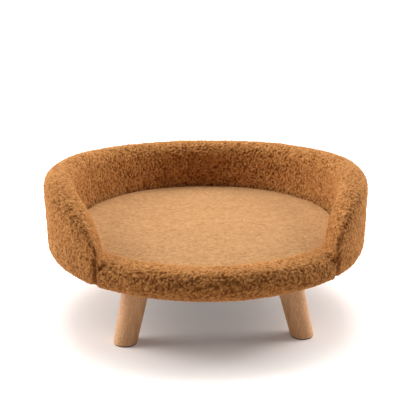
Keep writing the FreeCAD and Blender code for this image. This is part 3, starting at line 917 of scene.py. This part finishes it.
@dataclass
class Upholstery:
    """The covered back, its arms and the front lip."""

    room: Room
    finish: Material
    pile_tree: Tree
    # How far the bare form stays inside the CAD, to leave room for the pile.
    ring_inset: float = 0.0010
    rim_inset: float = 0.0025
    lip_inset: float = 0.0019
    lip_spread: float = 0.0045
    # The wall's section.
    thick: float = 0.0455
    foot_round: float = 0.024
    fold_beyond_seat: float = 0.001
    fold_rise: float = 0.004
    lip_inner_round: float = 0.0025
    lip_outer_round: float = 0.021
    # The arms, with angles in degrees from the middle of the back.
    rim_rise: float = 0.0045
    lean: float = 0.0035
    arm_begins: float = 70.0
    arm_ends: float = 134.5
    arm_sink: float = 0.020
    arm_power: float = 2.9
    nose: float = 0.35
    shear_begins: float = 95.0
    arm_shear: float = 5.5
    # The pile.
    curl: float = 0.0034
    pile: float = 0.0046
    swell: float = 0.003
    seam_inset: float = 0.0007
    seam_depth: float = 0.0022
    # How much forward-facing faces at the front are darkened, as painted shade.
    front_nap: float = 0.07
    short_width: float = 0.0095
    # The meshes.
    joining_voxel: float = 0.004
    voxel: float = 0.0016
    easing: int = 8
    lip_sections: int = 90

    def __post_init__(self) -> None:
        """Work the form's own sizes out from the frame's."""
        self.radius = self.room.ring_radius - self.ring_inset
        self.inner = self.radius - self.thick
        self.middle = self.radius - self.thick / 2
        self.foot = self.room.ring_low
        self.rim = self.room.ring_top - self.rim_inset
        self.lip_top = self.room.lip_top - self.lip_inset
        self.lip_half = self.room.lip_half_width + self.lip_spread
        self.fold_inner = self.room.seat_radius + self.fold_beyond_seat

    def crest(self) -> np.ndarray:
        """Angle from the back, in degrees, and height along one arm.

        Returns:
            Rows of (angle, height), from the middle of the back to the arm's foot.
        """
        level = [(angle, self.rim) for angle in np.linspace(0.0, self.arm_begins, 40)[:-1]]
        low = self.lip_top - self.arm_sink
        sweep = np.linspace(0.0, math.pi / 2, 60)
        along = np.sin(sweep) ** (2 / self.arm_power)
        down = np.clip(np.cos(sweep), 0.0, 1.0) ** (2 / self.arm_power)
        angles = self.arm_begins + (self.arm_ends - self.arm_begins) * along
        heights = low + (self.rim - low) * down
        arm = list(zip(angles, heights))
        fold = self.foot + self.fold_rise
        foot = [(self.arm_ends, z) for z in np.linspace(low, fold, 10)[1:]]
        line = np.array(level + arm + foot)
        share = (line[:, 1] - self.foot) / (self.rim - self.foot)
        line[:, 1] += self.rim_rise * np.sin(np.radians(line[:, 0])) ** 2 * share
        return line

    def back_points(self) -> tuple[np.ndarray, int]:
        """Corners of the back and arms, one closed section after another.

        Returns:
            The corners and how many sections there are.
        """
        half = self.crest()
        mirrored = np.stack([-half[::-1, 0], half[::-1, 1]], axis=1)
        line = np.concatenate([mirrored, half[1:]])
        round_top = self.thick / 2
        run = np.radians(line[:, 0]) * self.middle
        way = np.gradient(np.stack([run, line[:, 1]], axis=1), axis=0)
        way /= np.linalg.norm(way, axis=1)[:, None]
        up = np.stack([-way[:, 1], way[:, 0]], axis=1)
        points = []
        for index in range(len(line)):
            blunt = 1.0 - (1.0 - self.nose) * abs(up[index, 0])
            centre_run = run[index] - up[index, 0] * round_top * blunt
            centre_z = line[index, 1] - up[index, 1] * round_top * blunt
            for out, rise, flat in self.section(round_top):
                rise *= blunt
                if flat is None:
                    u, z = centre_run + up[index, 0] * rise, centre_z + up[index, 1] * rise
                else:
                    u, z = centre_run, min(flat, centre_z)
                points.append(self.bend(u, self.middle + out, max(z, self.foot), round_top))
        return np.array(points), len(line)

    def section(self, round_top: float) -> list[tuple[float, float, float | None]]:
        """Draw one section of the wall.

        Args:
            round_top: Radius of its round top.

        Returns:
            Rows of (offset outwards, rise over the crest's centre, fixed height or None).
        """
        rows: list[tuple[float, float, float | None]] = [
            (self.fold_inner - self.radius + round_top, 0.0, self.foot),
            (-round_top, 0.0, self.foot + self.fold_rise),
        ]
        rows += [(out, rise, None) for out, rise in arc((0.0, 0.0), round_top, 180.0, 0.0, 17)]
        centre = (round_top - self.foot_round, self.foot + self.foot_round)
        rows += [(out, 0.0, level) for out, level in arc(centre, self.foot_round, 0.0, -90.0, 9)]
        return rows

    def bend(self, run: float, rho: float, z: float, half: float) -> Vector:
        """Wrap an unrolled point round the ring.

        Args:
            run: Distance along the middle of the wall, from the back.
            rho: Distance from the axis.
            z: Height.
            half: Half the wall's thickness.

        Returns:
            The point. Near the arm's end it is sheared, so the end faces sideways.
        """
        angle = run / self.middle
        past = abs(math.degrees(angle)) - self.shear_begins
        ramp = smooth_step(past / (self.arm_ends - self.shear_begins))
        shear = math.radians(self.arm_shear) * (rho - self.middle) / half * ramp
        angle += math.copysign(1.0, run) * shear
        rho += self.lean * (z - self.foot) / (self.rim - self.foot) * math.sin(angle) ** 2
        return Vector((rho * math.sin(angle), rho * math.cos(angle), z))

    def front_points(self) -> tuple[np.ndarray, int]:
        """Corners of the front lip, one closed section after another.

        Returns:
            The corners and how many sections there are.
        """
        inner, outer = self.inner, self.radius
        turn_in, turn_out = self.lip_inner_round, self.lip_outer_round
        turn_low = min(self.foot_round, self.lip_top - turn_out - self.foot)
        section = [(self.fold_inner, self.foot), (inner, self.foot + self.fold_rise)]
        section += arc((inner + turn_in, self.lip_top - turn_in), turn_in, 180.0, 90.0, 7)
        section += arc((outer - turn_out, self.lip_top - turn_out), turn_out, 90.0, 0.0, 11)
        section += arc((outer - turn_low, self.foot + turn_low), turn_low, 0.0, -90.0, 11)
        points = []
        for share in np.linspace(-1.0, 1.0, self.lip_sections):
            for rho, z in section:
                angle = share * math.asin(self.lip_half / rho)
                points.append((rho * math.sin(angle), -rho * math.cos(angle), z))
        return np.array(points), self.lip_sections

    def rough(self, stretch: Stretch) -> Piece:
        """Make the plain closed form of one stretch of the ring.

        Args:
            stretch: Which stretch.

        Returns:
            The form.
        """
        maker = self.back_points if stretch is Stretch.BACK else self.front_points
        points, rows = maker()
        return new_object(f"{stretch.value}_form", points, ring_faces(rows, len(points) // rows))

    def build(self) -> Piece:
        """Make the covered ring: both stretches grown into one, then its pile.

        Returns:
            The finished piece.
        """
        forms = [self.rough(stretch) for stretch in Stretch]
        for form in forms:
            remesh(form, self.joining_voxel, 0)
        piece, other = forms
        join = piece.modifiers.new("join", "BOOLEAN")
        join.operation = "UNION"
        join.solver = "EXACT"
        join.object = other
        settle(piece)
        bpy.data.objects.remove(other)
        piece.name = "ring_upholstery"
        remesh(piece, self.voxel, self.easing)
        pile = Pile(
            curl_size=self.curl,
            pile_height=self.pile,
            swell=self.swell,
            flat_below=self.foot,
            short_within=self.inner,
            long_beyond=self.inner + self.short_width,
            seam_at=self.lip_half - self.seam_inset,
            seam_depth=self.seam_depth,
            front_nap=self.front_nap,
        )
        run_tree(piece, self.pile_tree, {**titled(pile), "Material": self.finish})
        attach(piece, FRAME_BODY)
        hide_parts("back_cover", "back_foam", "front_cover", "front_foam")
        return piece


@dataclass
class Cushion:
    """The lift-out seat cushion and the teeth of its zip."""

    room: Room
    finish: Material
    teeth_finish: Material
    pile_tree: Tree
    teeth_tree: Tree
    # The first shape, against the CAD cushion.
    spread: float = 0.0035
    lift: float = 0.0003
    dip: float = 0.0015
    edge: float = 0.002
    steps: int = 180
    voxel: float = 0.0042
    # The swelling.
    pressure: float = 4.0
    frames: int = 20
    cap: float = 0.006
    # The space that it is held in, and the crown over its back.
    most_spread: float = 0.0055
    most_rise: float = 0.0002
    crown: float = 0.0055
    crown_from: float = -0.195
    crown_to: float = -0.06
    # The top's edge, fuller all round and drawn over the lip at the front, in degrees.
    edge_from: float = 0.160
    top_from: float = 0.138
    fuller: float = 0.004
    over_lip: float = 0.012
    lip_sink: float = 0.0048
    lip_starts: float = 108.0
    lip_full: float = 128.0
    # The pile.
    curl: float = 0.0042
    pile: float = 0.0008
    swell: float = 0.004
    bare: float = 0.0005
    # The zip, with angles in degrees.
    zip_margin: float = 0.0008
    zip_inset: float = 0.0007
    zip_half_span: float = 51.0
    teeth_out: float = 0.0002
    teeth_span: float = 96.0
    tooth_count: int = 300
    tooth: Triple = (0.0005, 0.0008, 0.0022)

    def __post_init__(self) -> None:
        """Work the cushion's own sizes out from the frame's."""
        self.radius = self.room.seat_radius + self.spread
        self.widest = self.room.seat_radius + self.most_spread
        self.low = self.room.seat_low + self.lift
        self.high = self.room.seat_top - self.dip
        self.highest = self.room.seat_top + self.most_rise

    def lathe(self) -> Piece:
        """Make the cushion's first shape: a disc with rounded edges.

        Returns:
            The disc.
        """
        across = self.radius - self.edge
        section = arc((across, self.low + self.edge), self.edge, -90.0, 0.0, 6)
        section += arc((across, self.high - self.edge), self.edge, 0.0, 90.0, 6)
        points = [
            (rho * math.cos(angle), rho * math.sin(angle), z)
            for rho, z in section
            for angle in np.linspace(0.0, 2 * math.pi, self.steps, endpoint=False)
        ]
        return new_object("seat_cushion", np.array(points), ring_faces(len(section), self.steps))

    def inflate(self, piece: Piece) -> None:
        """Swell the cushion as cloth, up to a cap, and keep the result.

        Args:
            piece: The cushion.
        """
        start = self.places(piece)
        scene = bpy.context.scene
        cloth = piece.modifiers.new("cloth", "CLOTH")
        cloth.settings.use_pressure = True
        cloth.settings.uniform_pressure_force = self.pressure
        cloth.settings.effector_weights.gravity = 0.0
        for number in range(1, self.frames + 1):
            scene.frame_set(number)
        settle(piece)
        scene.frame_set(1)
        moved = self.places(piece) - start
        length = np.linalg.norm(moved, axis=1)
        share = np.minimum(1.0, self.cap / np.maximum(length, TINY))
        self.place(piece, start + moved * share[:, None])

    def places(self, piece: Piece) -> np.ndarray:
        """Read every corner of a piece.

        Args:
            piece: The piece.

        Returns:
            The corners, one row each.
        """
        flat = np.empty(len(piece.data.vertices) * 3)
        piece.data.vertices.foreach_get("co", flat)
        return flat.reshape(-1, 3)

    def place(self, piece: Piece, points: np.ndarray) -> None:
        """Move every corner of a piece.

        Args:
            piece: The piece.
            points: The corners, one row each.
        """
        piece.data.vertices.foreach_set("co", points.reshape(-1))
        piece.data.update()

    def fit(self, piece: Piece) -> None:
        """Give the cushion its crown and its edge, hold it in its space and let the zip in.

        Args:
            piece: The cushion.
        """
        points = self.places(piece)
        points[:, 2] = np.clip(points[:, 2], self.low, self.highest)
        back = (points[:, 1] - self.crown_from) / (self.crown_to - self.crown_from)
        crown = self.crown * smooth_step(back)
        points[:, 2] += crown * (points[:, 2] - self.low) / (self.highest - self.low)
        rho = np.hypot(points[:, 0], points[:, 1])
        away = np.degrees(np.abs(np.arctan2(points[:, 0], points[:, 1])))
        edge = smooth_step((rho - self.edge_from) / (self.radius - self.edge_from))
        edge *= smooth_step((points[:, 2] - self.top_from) / self.fuller)
        front = smooth_step((away - self.lip_starts) / (self.lip_full - self.lip_starts))
        wider = edge * (self.fuller + (self.over_lip - self.fuller) * front)
        plateau = self.highest + crown - self.lip_sink * front
        points[:, 2] += (plateau - points[:, 2]) * edge
        limit = self.widest + self.over_lip * edge * front
        near_zip = (
            (away < self.zip_half_span)
            & (points[:, 2] > self.room.tape_low - self.zip_margin)
            & (points[:, 2] < self.room.tape_high + self.zip_margin)
        )
        limit[near_zip] = self.room.tape_radius - self.zip_inset
        reach = np.minimum(rho + wider, limit)
        points[:, :2] *= (reach / np.maximum(rho, TINY))[:, None]
        self.place(piece, points)

    def build(self) -> Piece:
        """Make the cushion.

        Returns:
            The finished piece.
        """
        piece = self.lathe()
        remesh(piece, self.voxel, 0)
        self.inflate(piece)
        finer = piece.modifiers.new("finer", "SUBSURF")
        finer.levels = 1
        finer.render_levels = 1
        settle(piece)
        self.fit(piece)
        flat_below = self.low + self.bare
        pile = Pile(self.curl, self.pile, self.swell, flat_below)
        run_tree(piece, self.pile_tree, {**titled(pile), "Material": self.finish})
        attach(piece, CUSHION_BODY)
        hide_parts("cushion_cover", "cushion_foam")
        return piece

    def build_teeth(self) -> Piece:
        """Make the zip's teeth on its tape.

        Returns:
            The finished piece.
        """
        piece = new_object("zip_teeth", np.zeros((0, 3)), [])
        span = math.radians(self.teeth_span)
        values = {
            "Count": self.tooth_count,
            "Radius": self.room.tape_radius + self.teeth_out,
            "Level": (self.room.tape_low + self.room.tape_high) / 2,
            "Start": math.pi / 2 - span / 2,
            "Step": span / (self.tooth_count - 1),
            "Tooth": self.tooth,
            "Material": self.teeth_finish,
        }
        run_tree(piece, self.teeth_tree, values)
        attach(piece, CUSHION_BODY)
        return piece


@dataclass
class Hardware:
    """The CAD pieces that stay as they are and get their finishes."""

    finishes: dict[str, Material]

    def finish_of(self) -> dict[str, str]:
        """Name the finish of every CAD piece that is kept.

        Returns:
            Finishes by piece.
        """
        single = {
            "plywood": ("base_board", "back_shell", "front_rail"),
            "steel": ("shell_screws", "rail_screws", "cover_staples", "dust_staples"),
            "dust_sheet": ("dust_cover",),
            "tape": ("zip_tape",),
            "zip_metal": ("zip_slider", "zip_pull"),
        }
        legs = {
            "beech": ("leg",),
            "pad": ("foot_pad",),
            "black_steel": ("leg_plate",),
            "steel": ("plate_screws", "leg_bolt"),
        }
        wanted = {name: finish for finish, names in single.items() for name in names}
        for finish, kinds in legs.items():
            wanted.update({f"{kind}_{corner}": finish for kind in kinds for corner in CORNERS})
        return wanted

    def dress(self) -> None:
        """Put the finishes on."""
        for name, finish in self.finish_of().items():
            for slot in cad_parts[name].material_slots:
                slot.material = self.finishes[finish]
            LOG.info("dressed %s in %s", name, finish)


@dataclass(frozen=True)
class Lamp:
    """A soft square lamp: its place, its power in watts and its side."""

    name: str
    place: Triple
    power: float
    side: float


@dataclass
class Studio:
    """The floor, the lights and the camera, with angles in degrees."""

    distance: float = 1.315
    azimuth: float = -5.5
    elevation: float = 15.9
    right_shift: float = 0.0029
    up_shift: float = 0.1595
    focal_share: float = 1.91106
    sensor: float = 36.0
    lamps: tuple[Lamp, ...] = (
        Lamp("top", (0.0, 0.6, 1.9), 35.0, 1.6),
        Lamp("left", (-1.6, 0.4, 0.9), 36.0, 1.2),
        Lamp("right", (1.6, 0.4, 0.9), 33.0, 1.2),
    )
    aim: Triple = (0.0, 0.0, 0.12)
    world_light: float = 0.15
    # The floor: its warm colour, which tints the shadow as painted bounce light, and how much it
    # glows by itself: always a little, as painted light in the shadow; from the bed's shadow
    # outwards, as painted light that keeps it tight; and fully far off, as a white backdrop.
    floor_half: float = 40.0
    floor_colour: Colour = (0.93, 0.86, 0.82)
    glow_colour: Colour = (1.0, 0.99, 0.98)
    least_glow: float = 0.05
    near_glow: float = 0.62
    near: Span = (0.14, 0.38)
    far: Span = (0.7, 3.0)

    def camera(self) -> None:
        """Place the camera."""
        turn, lift = math.radians(self.azimuth), math.radians(self.elevation)
        back = Vector(
            (math.sin(turn) * math.cos(lift), -math.cos(turn) * math.cos(lift), math.sin(lift))
        )
        right = Vector((math.cos(turn), math.sin(turn), 0.0))
        up = back.cross(right)
        eye = back * self.distance + right * self.right_shift + up * self.up_shift
        lens = bpy.data.cameras.new("camera")
        lens.sensor_width = self.sensor
        lens.lens = self.sensor * self.focal_share
        item = bpy.data.objects.new("camera", lens)
        axes = Matrix((right, up, back)).transposed().to_4x4()
        item.matrix_world = Matrix.Translation(eye) @ axes
        bpy.context.scene.collection.objects.link(item)
        bpy.context.scene.camera = item

    def light(self, lamp: Lamp) -> None:
        """Add a lamp that faces the bed.

        Args:
            lamp: The lamp.
        """
        light = bpy.data.lights.new(lamp.name, "AREA")
        light.energy = lamp.power
        light.size = lamp.side
        item = bpy.data.objects.new(lamp.name, light)
        item.location = lamp.place
        aim = Vector(self.aim) - Vector(lamp.place)
        item.rotation_euler = aim.to_track_quat("-Z", "Y").to_euler()
        bpy.context.scene.collection.objects.link(item)

    def world(self) -> None:
        """Set white behind everything, and a dimmer level for the light that it gives."""
        world = bpy.data.worlds.new("studio")
        world.use_nodes = True
        bpy.context.scene.world = world
        graph = Graph(world.node_tree)
        seen = self.seen(graph)
        strength = graph.maths("MULTIPLY_ADD", seen, 1.0 - self.world_light, self.world_light)
        white = {"Color": (1.0, 1.0, 1.0), "Strength": strength}
        graph.feed_all(world.node_tree.nodes["Background"], white)

    def seen(self, graph: Graph) -> Socket:
        """Tell the rays that see from the rays that light.

        Args:
            graph: The material's or the world's graph.

        Returns:
            1 where a ray comes from the camera, a reflection or glass.
        """
        path = graph.add("ShaderNodeLightPath").outputs
        first = graph.maths("MAXIMUM", path["Is Camera Ray"], path["Is Glossy Ray"])
        return graph.maths("MAXIMUM", first, path["Is Transmission Ray"])

    def floor(self) -> None:
        """Lay a pale floor that keeps the bed's shadow. Its warm colour tints the shadow as
        painted bounce light, and it glows for the camera as painted light, most from the shadow
        outwards.
        """
        half = self.floor_half
        corners = [(-half, -half), (half, -half), (half, half), (-half, half)]
        points = np.array([(x, y, 0.0) for x, y in corners])
        piece = new_object("floor", points, [(0, 1, 2, 3)])
        material, graph, shader = start_material("pale_floor")
        place = graph.add("ShaderNodeTexCoord").outputs["Object"]
        away = graph.add("ShaderNodeVectorMath", {0: place}, operation="LENGTH").outputs["Value"]
        # Painted light: a little glow everywhere, more from the bed's shadow outwards so that the
        # shadow stays tight, full glow far off.
        glow = graph.maths("ADD", graph.spread(away, *self.far), self.least_glow)
        glow = graph.maths("MULTIPLY_ADD", graph.spread(away, *self.near), self.near_glow, glow)
        surface = {
            "Base Color": self.floor_colour,
            "Roughness": 1.0,
            "Specular IOR Level": 0.0,
            "Emission Color": self.glow_colour,
            "Emission Strength": graph.maths("MULTIPLY", glow, self.seen(graph)),
        }
        graph.feed_all(shader, surface)
        piece.data.materials.append(material)

    def build(self) -> None:
        """Set everything up."""
        self.camera()
        self.world()
        self.floor()
        for lamp in self.lamps:
            self.light(lamp)
        bpy.context.scene.view_settings.view_transform = "Standard"


def make_finishes() -> dict[str, Material]:
    """Build every finish once.

    Returns:
        The materials by name.
    """
    looks = (
        (make_pile_shade(), (CURLY, PLUSH)),
        (make_wood_grain(), (BEECH, PLYWOOD)),
        (make_speckle(), PLAIN),
    )
    return {finish.name: finish.make(tree) for tree, kinds in looks for finish in kinds}


def main() -> None:
    """Build every sub-assembly in order and report each piece."""
    finishes, room = make_finishes(), measure()
    pile_tree = make_pile_tree()
    Studio().build()
    Hardware(finishes).dress()
    upholstery = Upholstery(room, finishes[CURLY.name], pile_tree)
    cushion = Cushion(
        room, finishes[PLUSH.name], finishes["zip_metal"], pile_tree, make_teeth_tree()
    )
    for piece in (upholstery.build(), cushion.build(), cushion.build_teeth()):
        LOG.info("built %s with %d faces", piece.name, len(piece.data.polygons))


if __name__ == "__main__":
    logging.basicConfig(level=logging.INFO)
    main()
